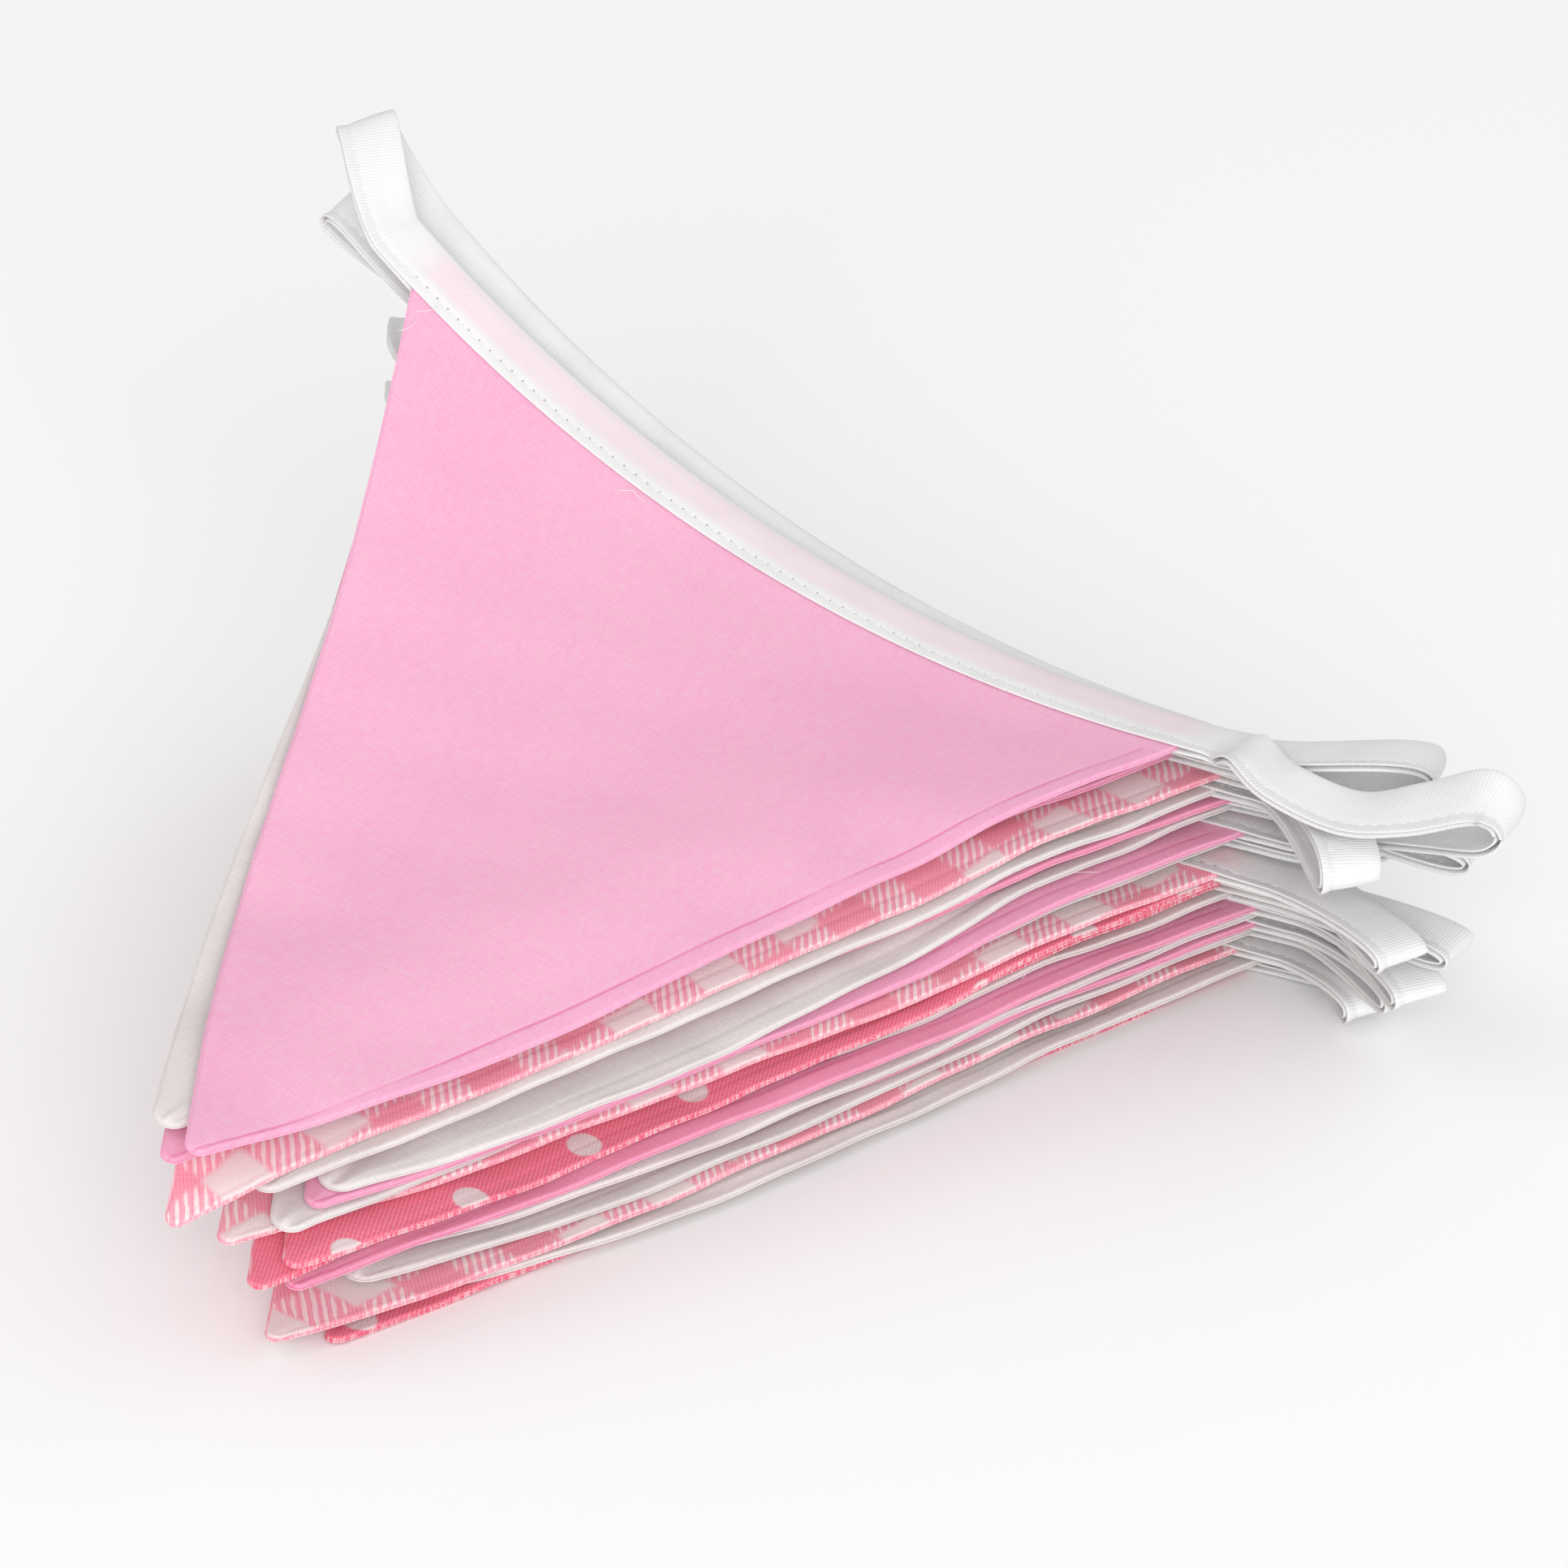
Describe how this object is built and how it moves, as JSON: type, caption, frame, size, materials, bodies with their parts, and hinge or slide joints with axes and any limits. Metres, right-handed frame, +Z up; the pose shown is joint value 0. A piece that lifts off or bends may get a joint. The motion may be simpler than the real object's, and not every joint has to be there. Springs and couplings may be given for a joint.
{
  "type": "fabric bunting",
  "caption": "String of triangular cloth pennants on a white binding tape, folded back and forth into a flat pile with one corner curled up and the tape looping out at both ends.",
  "frame": {"origin": "on the surface that the pile lies on, under the middle of the pennants", "axes": "+X along the tape, -Y towards the pennants' tips, +Z up out of the pile"},
  "size_m": [0.2642, 0.2365, 0.1453],
  "materials": {
    "pink": "matt plain cotton",
    "white": "matt plain cotton",
    "gingham": "matt woven check",
    "dotted": "matt cotton with printed dots",
    "tape": "matt ribbed tape"
  },
  "bodies": {
    "root": {"pennant_01_pink": "pink", "pennant_02_white": "white", "pennant_03_pink": "pink", "pennant_04_gingham": "gingham", "pennant_05_white": "white", "pennant_06_pink": "pink", "pennant_07_white": "white", "pennant_08_pink": "pink", "pennant_09_white": "white", "pennant_10_gingham": "gingham", "pennant_11_dotted": "dotted", "pennant_12_dotted": "dotted", "pennant_13_white": "white", "pennant_14_pink": "pink", "pennant_15_white": "white", "pennant_16_pink": "pink", "pennant_17_white": "white", "pennant_18_gingham": "gingham", "pennant_19_white": "white", "pennant_20_dotted": "dotted", "binding_tape": "tape"}
  },
  "joints": []
}
